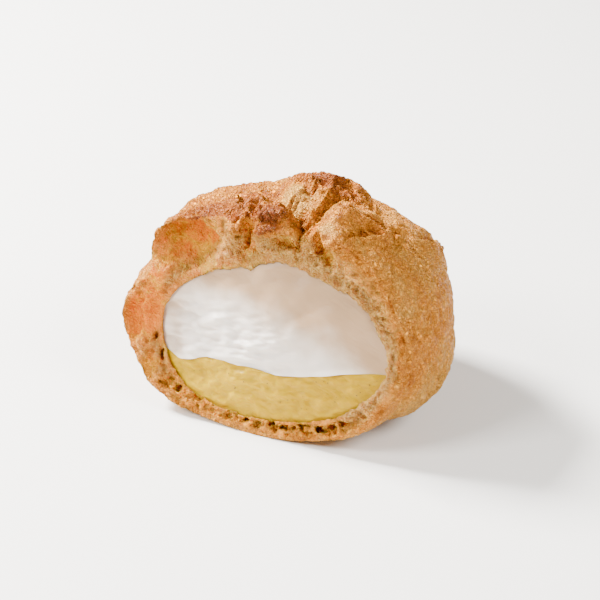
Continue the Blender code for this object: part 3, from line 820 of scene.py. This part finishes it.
# The pale dry fleck colour is partly painted highlight, and the seam, crack and pore browns are partly
# painted shade in hollows; the two oranges paint the glow of light through a thin wall.
PALE_SKIN, GOLDEN_SKIN = (1.0, 0.50, 0.08), (1.0, 0.36, 0.02)
BROWN_SKIN, DARK_SKIN = (0.62, 0.165, 0.008), (0.24, 0.045, 0.003)
DRY_FLECK_AND_HIGHLIGHT, SEAM_BROWN_AND_SHADE, CRACK_BROWN_AND_SHADE = (1.0, 0.66, 0.22), (0.26, 0.05, 0.001), (0.38, 0.075, 0.002)
PALE_CRUMB, MOIST_CRUMB, TOASTED_CRUMB = (0.62, 0.36, 0.10), (0.44, 0.195, 0.04), (0.46, 0.175, 0.005)
PORE_BROWN_AND_SHADE, PAINTED_GLOW_ORANGE, PAINTED_GLOW_DEEP_ORANGE = (0.30, 0.085, 0.002), (1.0, 0.43, 0.0), (1.0, 0.24, 0.0)
GRAIN_SIZES = {"Cell Size": 1.05, "Seam Width": 0.14, "Grain Size": 0.5, "Ridge Size": 1.25}
GRAIN_DEPTH = 1.2 * MM


def skin_colour(tree, grain, patches, mottle):
    """Golden skin, browner on its crags, with dark seams and cracks, partly painted shade, and pale
    dry flecks, partly painted highlights.
    """
    tone = plus(tree, mark_of(tree, "brown"), spread_out(tree, patches, 0.8))
    tone = plus(tree, tone, spread_out(tree, mottle, 0.6))
    skin = ramp(tree, tone, (0.05, PALE_SKIN), (0.38, GOLDEN_SKIN), (0.68, BROWN_SKIN), (1.0, DARK_SKIN))
    # The wrinkles' valleys, the grooves and the seams are painted darker, partly as shade.
    shaded_valley = work(tree, "POWER", mark_of(tree, "wrinkle"), 2.0)
    wide_seams_and_shade = times(tree, larger(tree, mark_of(tree, "groove"), shaded_valley), 0.6)
    seams = larger(tree, wide_seams_and_shade, times(tree, grain["Seam"], 0.7))
    seams = larger(tree, seams, work(tree, "POWER", grain["Ridge"], 2.5))
    skin = blended(tree, times(tree, seams, 0.68), skin, SEAM_BROWN_AND_SHADE)
    # Pale flecks on the grain's crests are partly dry flakes, partly painted highlights.
    flecks = times(tree, ease(tree, grain["Grain"], 0.45, 0.65), less(tree, 1.0, grain["Ridge"]))
    skin = blended(tree, times(tree, flecks, 0.18), skin, DRY_FLECK_AND_HIGHLIGHT)
    # Cracks are painted darker, partly as shade.
    return blended(tree, times(tree, mark_of(tree, "crack"), 0.7), skin, CRACK_BROWN_AND_SHADE)


def crumb_colour(tree, grain, mottle):
    """Pale moist crumb, darker in its folds and pores, and toasted near the crust."""
    crumb = blended(tree, ease(tree, mottle, 0.38, 0.6), MOIST_CRUMB, PALE_CRUMB)
    crumb = blended(tree, ease(tree, mark_of(tree, "fold"), 0.2, 0.8, 0.45, 0.0), crumb, MOIST_CRUMB)
    toasted = blended(tree, ease(tree, mottle, 0.4, 0.62), TOASTED_CRUMB, GOLDEN_SKIN)
    toast = larger(tree, mark_of(tree, "base"), times(tree, mark_of(tree, "toast"), 0.7))
    crumb = blended(tree, toast, crumb, toasted)
    ridges = times(tree, work(tree, "POWER", grain["Ridge"], 2.0), 0.3)
    crumb = blended(tree, ridges, crumb, MOIST_CRUMB)
    # Pores are painted darker, partly as shade.
    return blended(tree, times(tree, mark_of(tree, "pore"), 0.9), crumb, PORE_BROWN_AND_SHADE)


def baked_choux_material():
    """Skin and crumb, with a painted orange glow where light would come through a thin wall."""
    material, tree, shader = new_material("baked choux")
    place = place_in_mm(tree)
    grain = add(tree, "ShaderNodeGroup", GRAIN_SIZES, node_tree=fine_grain_group()).outputs
    patches = cloudy(tree, place, 7.0, 4.0, roughness=0.6)
    mottle = cloudy(tree, strayed(tree, place, 2.5, 1.2), 1.7, 3.0, roughness=0.6)
    torn = plus(tree, mark_of(tree, "crumb"), spread_out(tree, mottle, 0.9))
    skin, crumb = skin_colour(tree, grain, patches, mottle), crumb_colour(tree, grain, mottle)
    colour = blended(tree, ease(tree, torn, 0.25, 0.75), skin, crumb)
    # The orange is a painted glow, standing in for light through a thin wall.
    orange = blended(tree, ease(tree, patches, 0.44, 0.6), PAINTED_GLOW_DEEP_ORANGE, PAINTED_GLOW_ORANGE)
    glow = work(tree, "MINIMUM", times(tree, mark_of(tree, "glow"), 1.3), 1.0)
    glow = times(tree, glow, ease(tree, mottle, 0.3, 0.6, 0.8, 1.0))
    height = less(tree, times(tree, grain["Grain"], 0.6), grain["Ridge"])
    height = less(tree, height, times(tree, grain["Seam"], 0.6))
    bump = add(tree, "ShaderNodeBump", {"Strength": 1.0, "Distance": GRAIN_DEPTH, "Height": height})
    finish = {
        "Base Color": blended(tree, times(tree, glow, 0.95), colour, orange),
        "Roughness": ease(tree, mark_of(tree, "crumb"), 0.0, 1.0, 0.5, 0.45),
        "Specular IOR Level": 0.16,
        "Normal": bump.outputs["Normal"],
        "Subsurface Weight": ease(tree, mark_of(tree, "crumb"), 0.0, 1.0, 0.05, 0.4),
        "Subsurface Radius": (1.0, 0.60, 0.22),
        "Subsurface Scale": 2.6 * MM,
    }
    plug(tree, shader, finish)
    return material


relief_sizes = {
    "Lump Size": 4.6,
    "Lump Depth": 3.0,
    "Wrinkle Size": 2.8,
    "Wrinkle Depth": 1.0,
    "Crackle Size": 2.6,
    "Crackle Depth": 0.35,
    "Fold Size": 3.6,
    "Fold Depth": 1.2,
    "Grain Size": 1.15,
    "Grain Depth": 1.6,
    "Pore Size": 2.9,
    "Pore Depth": 1.8,
    "Material": baked_choux_material(),
}
grow(shell, baked_relief_tree(), relief_sizes)
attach(shell, "root")
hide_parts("shell")


# Dry flakes of the skin curl up from the crags, and a few lie loose on them. Each is a thin curled
# scale of the same baked paste, from half a millimetre to a millimetre and a half long.
def scattered_tree():
    """Small uneven scales or grains, strewn over a surface where its mark is high."""
    inputs = {"Geometry": "Geometry", "Material": "Material", "Mark": "String", "Seed": "Int"}
    for measure in ("Per Metre", "Smallest", "Largest", "Width", "Thickness", "Curl", "Tilt"):
        inputs[measure] = "Float"
    tree, given, result = new_tree("scattered", "GeometryNodeTree", inputs, {"Geometry": "Geometry"})
    dense = times(tree, stored_mark(tree, given["Mark"]), given["Per Metre"])
    sockets = {"Mesh": given["Geometry"], "Density": dense, "Seed": given["Seed"]}
    places = add(tree, "GeometryNodeDistributePointsOnFaces", sockets).outputs

    def moved(geometry, offset):
        sockets = {"Geometry": geometry, "Offset": offset}
        return add(tree, "GeometryNodeSetPosition", sockets).outputs[0]

    scale = add(tree, "GeometryNodeMeshIcoSphere", {"Radius": 1.0, "Subdivisions": 2}).outputs["Mesh"]
    position = add(tree, "GeometryNodeInputPosition").outputs[0]
    scale = moved(scale, scaled(tree, cloudy(tree, position, 0.9, output="Color"), 0.7))
    flat = vector_of(tree, X=1.0, Y=given["Width"], Z=given["Thickness"])
    scale = add(tree, "GeometryNodeTransform", {"Geometry": scale, "Scale": flat}).outputs[0]
    bend = work(tree, "POWER", work(tree, "ABSOLUTE", sides_of(tree, position)["X"]), 2.0)
    scale = moved(scale, vector_of(tree, Z=times(tree, bend, given["Curl"])))

    tilts = {
        0: vector_of(tree, X=times(tree, given["Tilt"], -1.0)),
        1: vector_of(tree, X=given["Tilt"], Y=given["Tilt"], Z=2.0 * math.pi),
        "Seed": 3,
    }
    tilt = add(tree, "FunctionNodeRandomValue", tilts, data_type="FLOAT_VECTOR").outputs[0]
    tilt = add(tree, "FunctionNodeEulerToRotation", {0: tilt}).outputs[0]
    sockets = {"Rotation": places["Rotation"], "Rotate By": tilt}
    turned = add(tree, "FunctionNodeRotateRotation", sockets, rotation_space="LOCAL").outputs[0]
    spans = {2: given["Smallest"], 3: given["Largest"], "Seed": 5}
    span = add(tree, "FunctionNodeRandomValue", spans).outputs[1]
    sockets = {"Points": places["Points"], "Instance": scale, "Rotation": turned, "Scale": span}
    strewn = add(tree, "GeometryNodeInstanceOnPoints", sockets).outputs[0]
    finish_tree(tree, strewn, given, result)
    return tree


def strewn_piece(name, surface, values):
    piece = bpy.data.objects.new(name, surface.data.copy())
    bpy.context.scene.collection.objects.link(piece)
    grow(piece, scattered, values)
    piece.data.shade_smooth()
    return piece


def read_at_points(piece, kind):
    """The places or the normals of a piece's points."""
    values = np.zeros(len(piece.data.vertices) * 3)
    piece.data.vertices.foreach_get(kind, values)
    return values.reshape(-1, 3)


def marked_for(piece, mark, values_at):
    """Stores a mark at each point, worked out from its place and the way the surface faces."""
    points = read_at_points(piece, "co") / MM - AXIS_FOOT
    stored_at_points(piece.data, mark, values_at(points, read_at_points(piece, "normal")))


FLAKY_FROM_HEIGHT, FLAKY_AT_HEIGHT = 42.0, 52.0
BARE_BEHIND_CUT, FLAKY_BEHIND_CUT = 0.5, 3.0
FLAKE_CLUSTER = 6.0


def flaky(points, facing):
    """Flakes lie in clusters on the crown, on skin that faces up and is behind the cut."""
    crusted = smooth_step(points[:, 2], FLAKY_FROM_HEIGHT, FLAKY_AT_HEIGHT)
    crusted = crusted * smooth_step(facing[:, 2], 0.0, 0.5)
    behind = points[:, 1] - points[:, 2] * math.tan(CUT_LEAN) + CUT_FORWARD
    clustered = smooth_step(speckle(points, FLAKE_CLUSTER), -0.05, 0.35)
    return crusted * smooth_step(behind, BARE_BEHIND_CUT, FLAKY_BEHIND_CUT) * clustered


def flake_material():
    material, tree, shader = new_material("dry flakes")
    tone = cloudy(tree, place_in_mm(tree), 3.0)
    colour = ramp(tree, tone, (0.3, BROWN_SKIN), (0.5, GOLDEN_SKIN), (0.8, PALE_SKIN))
    plug(tree, shader, {"Base Color": colour, "Roughness": 0.5, "Specular IOR Level": 0.2})
    return material


scattered = scattered_tree()
marked_for(shell, "flaky", flaky)
flake_values = {
    "Material": flake_material(),
    "Mark": "flaky",
    "Seed": 11,
    "Per Metre": 60000.0,
    "Smallest": 0.25 * MM,
    "Largest": 0.75 * MM,
    "Width": 0.7,
    "Thickness": 0.1,
    "Curl": 0.3,
    "Tilt": 0.25,
}
flakes = strewn_piece("crust_flakes", shell, flake_values)
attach(flakes, "root")


# The two creams were piped into the hollow and cut with the shell: whipped cream on custard.
# The knife dragged across both, so their faces are smeared, and each sinks a little at its edge.
FILLING_GAP, SEAM_GAP, SINKS_INTO_CRUMB = 0.36, 0.04, 0.7
CREAM_KEEPS_BACK, CUSTARD_KEEPS_BACK = 0.014, 0.010
CREAM_BULGE, CUSTARD_BULGE = 1.4, 1.2
CUSTARD_TOP, CUSTARD_RISE = 18.0, 5.8
CUSTARD_WAVES = ((-27.0, 7.0, -3.4), (-4.0, 5.0, 0.4))
BLOCK_REACH, BLOCK_TOP, BLOCK_FOOT, BLOCK_STEPS = 55.0, 80.0, -10.0, 221
CUT_CORNER = math.radians(50.0)
FILLING_COLUMNS, FILLING_FRONT_ROWS, FILLING_BACK_ROWS = 512, 96, 12
SMEARS_END_FROM, SINKS_FROM = 0.9, 0.8


def custard_line(across):
    """The height up the cut at which the custard ends and the whipped cream begins."""
    height = CUSTARD_TOP + CUSTARD_RISE * smooth_step(across, 0.0, OPENING_LENGTHS[0])
    for centre, spread, wave in CUSTARD_WAVES:
        height = height + wave * np.exp(-(((across - centre) / spread) ** 2))
    return height


def filling_piece(name, clearance, bulge, smears):
    """A filling that fits the hollow, with smears in its front."""
    keeps_back = np.array(SLOPES_BACK) + clearance

    def snug_radius(rays):
        return hollow_radius(rays) - FILLING_GAP

    def snug_ring(count, share):
        angles = angles_of(count)
        snug = round_curve(OPENING_LENGTHS, angles) - FILLING_GAP
        share = share * (1.0 - round_curve(keeps_back, angles))
        return ring_round(in_the_cut(*cut_place(snug, angles)), share, snug_radius)

    edge = snug_ring(FILLING_COLUMNS, 1.0)
    middle = in_the_cut(np.array([0.0]), np.array([OPENING_HEIGHT]))[0]
    outwards = in_the_cut(0.0, 0.0, 1.0) - in_the_cut(0.0, 0.0, 0.0)
    rings = [(middle + outwards * bulge)[None]]
    for row in range(1, FILLING_FRONT_ROWS + 1):
        share = row / FILLING_FRONT_ROWS
        ring = middle + (edge - middle) * share
        calm = 1.0 - smooth_step(np.array(share), SMEARS_END_FROM, 1.0)
        proud = bulge * (1.0 - share**3) + smears(ring[:, 0], ring[:, 2] / math.cos(CUT_LEAN)) * calm
        sunk = unit(edge - middle) * SINKS_INTO_CRUMB * smooth_step(np.array(share), SINKS_FROM, 1.0)
        rings.append(ring + sunk + outwards * proud[:, None])
    for row in range(1, FILLING_BACK_ROWS):
        rings.append(snug_ring(max(FILLING_COLUMNS >> row, FEWEST_COLUMNS), 1.0 - row / FILLING_BACK_ROWS))
    rings.append(back_pole(snug_radius))
    return closed_piece(name, rings)


def cut_to_its_side(filling, far_end, sign):
    """Keeps the filling only above or below the custard's wavy top."""
    across = np.linspace(-BLOCK_REACH, BLOCK_REACH, BLOCK_STEPS)
    wave = custard_line(across) * math.cos(CUT_LEAN) + sign * SEAM_GAP / 2.0
    rows = [
        np.stack([across, np.full_like(across, deep), height], axis=-1)
        for deep in (-BLOCK_REACH, BLOCK_REACH)
        for height in (wave, np.full_like(wave, far_end))
    ]
    count = BLOCK_STEPS
    faces = [
        (low * count + i, low * count + i + 1, high * count + i + 1, high * count + i)
        for i in range(count - 1)
        for low, high in ((0, 1), (1, 3), (3, 2), (2, 0))
    ]
    faces += [(0, count, 3 * count, 2 * count), (count - 1, 3 * count - 1, 4 * count - 1, 2 * count - 1)]
    block = mesh_piece("side of the custard's top", np.concatenate(rows), faces)
    cut = filling.modifiers.new("other filling", "BOOLEAN")
    cut.operation, cut.object = "INTERSECT", block
    kept = bpy.data.meshes.new_from_object(filling.evaluated_get(bpy.context.evaluated_depsgraph_get()))
    filling.modifiers.remove(cut)
    filling.data = kept
    kept.shade_smooth()
    kept.set_sharp_from_angle(angle=CUT_CORNER)
    bpy.data.objects.remove(block)


# Strokes of the knife in each cream: how proud they stand, their turn, length, and width.
CREAM_SWEEPS, CREAM_STROKES = (0.9, 0.6, 12.0, 7.0), (0.9, 0.25, 6.0, 2.4)
CREAM_LINES = (0.4, 0.1, 4.2, 1.4)
CUSTARD_SWEEPS, CUSTARD_STROKES = (0.6, 0.15, 9.0, 4.0), (0.6, 0.4, 3.4, 1.7)
# Along the line where they meet: how proud each cream stands, and over what width.
CREAM_AT_LINE, CUSTARD_AT_LINE = (0.25, 0.9), (-0.2, 0.8)
STROKE_SLICE = 3.7


def strokes(across, up, proud, turn, length, width):
    """Long soft ridges, as a knife leaves them."""
    along = across * math.cos(turn) + up * math.sin(turn)
    beside = up * math.cos(turn) - across * math.sin(turn)
    places = np.stack([along / length, beside / width, np.full_like(along, STROKE_SLICE)], axis=-1)
    return proud * speckle(places, 1.0, 2.0)


def ridge_at_line(across, up, proud, width):
    return proud * np.exp(-(((up - custard_line(across)) / width) ** 2))


def cream_smears(across, up):
    """The knife dragged most at the lower left."""
    dragged = smooth_step(-across, -14.0, 8.0) * smooth_step(-up, -36.0, -26.0)
    fine = strokes(across, up, *CREAM_STROKES) * dragged + strokes(across, up, *CREAM_LINES) * dragged
    return strokes(across, up, *CREAM_SWEEPS) + fine + ridge_at_line(across, up, *CREAM_AT_LINE)


def custard_smears(across, up):
    broad = strokes(across, up, *CUSTARD_SWEEPS) + strokes(across, up, *CUSTARD_STROKES)
    return broad + ridge_at_line(across, up, *CUSTARD_AT_LINE)


def drag_marks_group():
    """Fine drag marks of a knife, and soft clouds of tone, for both creams."""
    inputs = {"Length": "Float", "Width": "Float", "Turn": "Float"}
    outputs = {"Height": "Float", "Cloud": "Float"}
    tree, given, result = new_tree("drag marks", "ShaderNodeTree", inputs, outputs)
    place = place_in_mm(tree)
    sockets = {"Vector": place, "Angle": given["Turn"]}
    turned = add(tree, "ShaderNodeVectorRotate", sockets, rotation_type="Y_AXIS").outputs[0]
    sizes = {"X": given["Length"], "Y": given["Width"], "Z": given["Width"]}
    sides = sides_of(tree, turned)
    drawn = {side: work(tree, "DIVIDE", sides[side], size) for side, size in sizes.items()}
    height = cloudy(tree, vector_of(tree, **drawn), 1.0, 3.0)
    plug(tree, result, {"Height": height, "Cloud": cloudy(tree, place, 6.0, 2.0)})
    return tree


drag_marks = drag_marks_group()
DRAG_TURN, DRAG_WIDTH = -0.35, 1.6


def filling_material(name, colours, roughness, gloss, length, depth, scatter):
    """A soft moist cream, whose first colour gives way to the second where it is shaded."""
    material, tree, shader = new_material(name)
    sockets = {"Length": length, "Width": DRAG_WIDTH, "Turn": DRAG_TURN}
    marks = add(tree, "ShaderNodeGroup", sockets, node_tree=drag_marks).outputs
    shade = plus(tree, spread_out(tree, marks["Cloud"], 0.5), mark_of(tree, "shade"))
    bump = add(tree, "ShaderNodeBump", {"Strength": 1.0, "Distance": depth * MM, "Height": marks["Height"]})
    finish = {
        "Base Color": blended(tree, ease(tree, shade, 0.0, 1.0), *colours),
        "Roughness": ease(tree, marks["Height"], 0.3, 0.7, roughness - 0.06, roughness + 0.06),
        "Specular IOR Level": gloss,
        "Normal": bump.outputs["Normal"],
        "Subsurface Weight": 0.5,
        "Subsurface Radius": scatter,
        "Subsurface Scale": 2.0 * MM,
    }
    plug(tree, shader, finish)
    return material


def shaded_by(piece, shade):
    """Stores how much of the second colour shows at each point, from its place in the cut."""
    points = read_at_points(piece, "co") / MM - AXIS_FOOT
    stored_at_points(piece.data, "shade", shade(points[:, 0], points[:, 2] / math.cos(CUT_LEAN)))


def cream_shade(across, up):
    """Painted shade, darker and warmer, under the crust's overhang, towards the right and near the edge."""
    top = round_curve(OPENING_LENGTHS, np.arctan2(up - OPENING_HEIGHT, across))
    near_edge = smooth_step(np.hypot(across, up - OPENING_HEIGHT) / top, 0.6, 1.05)
    # The smears' crests are painted lighter and their hollows darker, as light and shade.
    hollows = 0.10 - 0.24 * cream_smears(across, up)
    return smooth_step(up + 0.3 * across, 22.0, 45.0) + 0.45 * near_edge + hollows


def custard_shade(across, up):
    """Deeper towards the right; the smears' crests are painted lighter and hollows darker, as light and
    shade.
    """
    return 0.3 + 0.4 * smooth_step(across, -10.0, 28.0) - 0.6 * custard_smears(across, up)


def made_only_of(piece, material):
    piece.data.materials.clear()
    piece.data.materials.append(material)


# The cream's second colour is its painted shade; soft clouds also shift towards it at random.
CREAM_COLOURS = (0.78, 0.70, 0.62), (0.42, 0.265, 0.145)
CREAM_LOOKS = {"roughness": 0.42, "gloss": 0.25, "length": 6.0, "depth": 0.25, "scatter": (1.0, 0.8, 0.6)}
cream = filling_piece("whipped_cream_filling", CREAM_KEEPS_BACK, CREAM_BULGE, cream_smears)
cut_to_its_side(cream, BLOCK_TOP, 1.0)
shaded_by(cream, cream_shade)
made_only_of(cream, filling_material("whipped cream", CREAM_COLOURS, **CREAM_LOOKS))
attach(cream, "root")
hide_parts("whipped_cream")

# The custard's second colour is deeper, and also carries painted shade in the hollows.
CUSTARD_COLOURS = (0.48, 0.295, 0.0), (0.41, 0.24, 0.0)
CUSTARD_LOOKS = {"roughness": 0.34, "gloss": 0.1, "length": 4.0, "depth": 0.7, "scatter": (1.0, 0.6, 0.15)}
custard = filling_piece("custard_filling", CUSTARD_KEEPS_BACK, CUSTARD_BULGE, custard_smears)
cut_to_its_side(custard, BLOCK_FOOT, -1.0)
shaded_by(custard, custard_shade)
made_only_of(custard, filling_material("custard", CUSTARD_COLOURS, **CUSTARD_LOOKS))
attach(custard, "root")
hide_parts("custard")


# Fine seeds from a vanilla pod are stirred through the custard, and the cut shows a few of them.
# Each is a hard dark grain, from 0.2 to 0.4 mm across.
def seeded(points, facing):
    """Seeds show in the cut, a little above the custard's foot."""
    return smooth_step(-facing[:, 1], 0.6, 0.8) * smooth_step(points[:, 2], 8.0, 10.0)


seed_material, seed_tree, seed_shader = new_material("vanilla seed")
plug(seed_tree, seed_shader, {"Base Color": (0.035, 0.014, 0.004, 1.0), "Roughness": 0.4})
marked_for(custard, "seeded", seeded)
seed_values = {
    "Material": seed_material,
    "Mark": "seeded",
    "Seed": 4,
    "Per Metre": 45000.0,
    "Smallest": 0.09 * MM,
    "Largest": 0.2 * MM,
    "Width": 0.8,
    "Thickness": 0.7,
    "Curl": 0.0,
    "Tilt": 0.5,
}
seeds = strewn_piece("vanilla_seeds", custard, seed_values)
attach(seeds, "root")


# The floor is a plain pale sheet, far wider than the puff.
FLOOR_REACH = 3.0
floor_mesh = bpy.data.meshes.new("floor")
corners = [(x * FLOOR_REACH, y * FLOOR_REACH, 0.0) for x, y in ((-1, -1), (1, -1), (1, 1), (-1, 1))]
floor_mesh.from_pydata(corners, [], [(0, 1, 2, 3)])
floor_material, floor_tree, floor_shader = new_material("pale sheet")
plug(floor_tree, floor_shader, {"Base Color": (0.86, 0.83, 0.78, 1.0), "Roughness": 0.6})
floor_mesh.materials.append(floor_material)
floor = bpy.data.objects.new("floor", floor_mesh)
bpy.context.scene.collection.objects.link(floor)

# Three soft lamps and a pale surround. Each lamp: azimuth, height, distance in metres, size, and
# power. They stand round a point a little above the floor.
LAMPS = {
    "window": (174.0, 42.0, 0.8, 0.2, 44.0),
    "left": (-132.0, 40.0, 0.9, 0.3, 12.0),
    "right": (-5.0, 42.0, 0.9, 0.4, 11.0),
}
LAMPS_STAND_ROUND = Vector((0.0, 0.0, 0.03))
SURROUND, SURROUND_STRENGTH = (1.0, 0.96, 0.90, 1.0), 0.27
for name, (azimuth, height, distance, size, power) in LAMPS.items():
    lamp = bpy.data.lights.new(name, "AREA")
    lamp.energy, lamp.size = power, size
    stand = bpy.data.objects.new(name, lamp)
    towards = Vector(heading(azimuth, height))
    stand.location = towards * distance + LAMPS_STAND_ROUND
    stand.rotation_euler = towards.to_track_quat("Z", "Y").to_euler()
    bpy.context.scene.collection.objects.link(stand)
world = bpy.data.worlds.new("surround")
world.use_nodes = True
surround = world.node_tree.nodes["Background"]
plug(world.node_tree, surround, {"Color": SURROUND, "Strength": SURROUND_STRENGTH})
bpy.context.scene.world = world
